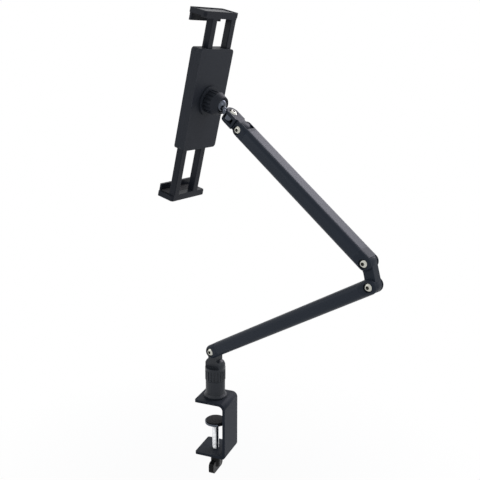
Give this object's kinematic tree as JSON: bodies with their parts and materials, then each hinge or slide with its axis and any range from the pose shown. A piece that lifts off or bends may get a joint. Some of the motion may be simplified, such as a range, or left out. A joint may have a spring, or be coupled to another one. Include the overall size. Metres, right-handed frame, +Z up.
{
  "type": "dual arm desktop tablet stand",
  "caption": "Desktop tablet stand with a table clamp, swivel post, two folding arms joined by a short elbow link, a ball jointed neck and a holder with sliding jaws.",
  "frame": {"origin": "on the swivel axis, on the underside of the clamp's rubber pad, where it rests on the table top", "axes": "+Z up along the swivel axis, +X from the clamp's open mouth to its spine, +Y across the clamp"},
  "size_m": [0.2948, 0.1229, 0.5976],
  "materials": {
    "clamp_paint": "satin powder coat",
    "post_paint": "satin powder coat",
    "arm_anodised": "satin anodised look",
    "joint_paint": "satin",
    "nickel": "bright plated",
    "chrome": "polished",
    "steel": "zinc plated",
    "dark_steel": "blackened, polished",
    "black_plastic": "fine texture",
    "gloss_black": "semi gloss",
    "knob_plastic": "moulded",
    "rubber": "matt",
    "nylon": "natural"
  },
  "bodies": {
    "clamp": {"clamp_frame": "clamp_paint", "table_pad": "rubber", "base_screws": "steel", "swivel_base": "post_paint", "swivel_bush": "nylon", "swivel_washer": "black_plastic"},
    "disc": {"pressure_disc": "dark_steel", "disc_pad": "rubber"},
    "screw": {"clamp_screw": "chrome", "wing_knob": "knob_plastic"},
    "post": {"swivel_collar": "post_paint", "swivel_head": "post_paint", "spindle_screw": "steel", "spindle_washer": "steel"},
    "lower_arm": {"lower_arm_tube": "arm_anodised", "lower_arm_foot": "joint_paint", "lower_arm_knuckle": "joint_paint", "lower_arm_bolts": "nickel", "lower_arm_nuts": "nickel", "lower_arm_washers": "nylon"},
    "link": {"elbow_link": "joint_paint"},
    "upper_arm": {"upper_arm_tube": "arm_anodised", "upper_arm_knuckle": "joint_paint", "upper_arm_wrist": "joint_paint", "upper_arm_bolts": "nickel", "upper_arm_nuts": "nickel", "upper_arm_washers": "nylon"},
    "neck": {"neck_block": "joint_paint", "neck_bolt": "nickel", "neck_nut": "nickel"},
    "stud": {"ball_stud": "dark_steel"},
    "liner": {"ball_liner": "nylon"},
    "nut": {"lock_nut": "black_plastic"},
    "holder": {"ball_socket": "black_plastic", "socket_screws": "steel", "housing_rear": "black_plastic", "housing_front": "black_plastic", "housing_screws": "steel", "front_pad": "rubber", "upper_jaw_spring": "steel", "lower_jaw_spring": "steel"},
    "jaw_upper": {"upper_jaw": "gloss_black", "upper_jaw_pad": "rubber"},
    "jaw_lower": {"lower_jaw": "gloss_black", "lower_jaw_pad": "rubber"}
  },
  "joints": [
    {"name": "disc_travel", "type": "slide", "parent": "clamp", "child": "disc", "axis": [0, 0, 1], "range_m": [-0.031, 0.0075]},
    {"name": "screw_turn", "type": "hinge", "parent": "disc", "child": "screw", "pos_m": [0, 0, -0.05], "axis": [0, 0, 1], "range_deg": [-5590, 1360]},
    {"name": "post_swivel", "type": "hinge", "parent": "clamp", "child": "post", "pos_m": [0, 0, 0.0314], "axis": [0, 0, 1], "continuous": true},
    {"name": "lower_arm_lift", "type": "hinge", "parent": "post", "child": "lower_arm", "pos_m": [0, 0, 0.0694], "axis": [-0.2924, -0.9563, 0], "range_deg": [-15, 100]},
    {"name": "elbow_lower", "type": "hinge", "parent": "lower_arm", "child": "link", "pos_m": [0.21335, -0.06523, 0.20292], "axis": [0.2924, 0.9563, 0], "range_deg": [-20, 150]},
    {"name": "elbow_upper", "type": "hinge", "parent": "link", "child": "upper_arm", "pos_m": [0.20654, -0.06315, 0.22793], "axis": [-0.2924, -0.9563, 0], "range_deg": [-60, 40]},
    {"name": "wrist_tilt", "type": "hinge", "parent": "upper_arm", "child": "neck", "pos_m": [0.04197, -0.01283, 0.35681], "axis": [-0.2924, -0.9563, 0], "range_deg": [-80, 80]},
    {"name": "neck_turn", "type": "hinge", "parent": "neck", "child": "stud", "pos_m": [0.02436, -0.00745, 0.37059], "axis": [0.5733, -0.1753, 0.8004], "range_deg": [-80, 80]},
    {"name": "ball_tilt", "type": "hinge", "parent": "stud", "child": "liner", "pos_m": [0.00752, -0.0023, 0.38378], "axis": [0.234, 0.9722, 0], "range_deg": [-4, 49]},
    {"name": "ball_pan", "type": "hinge", "parent": "liner", "child": "nut", "pos_m": [0.00752, -0.0023, 0.38378], "axis": [0.2352, -0.0566, 0.9703], "range_deg": [-30, 24]},
    {"name": "holder_turn", "type": "hinge", "parent": "nut", "child": "holder", "pos_m": [0.00752, -0.0023, 0.38378], "axis": [0.9434, -0.227, -0.2419], "continuous": true},
    {"name": "upper_jaw_slide", "type": "slide", "parent": "holder", "child": "jaw_upper", "axis": [0.2352, -0.0566, 0.9703], "range_m": [-0.0337, 0.03], "deforming": ["upper_jaw_spring"]},
    {"name": "lower_jaw_slide", "type": "slide", "parent": "holder", "child": "jaw_lower", "axis": [-0.2352, 0.0566, -0.9703], "range_m": [-0.0577, 0.0065], "deforming": ["lower_jaw_spring"]}
  ],
  "couplings": [
    {"joint": "screw_turn", "follows": "disc_travel", "rad_per_m": 3141.6}
  ]
}
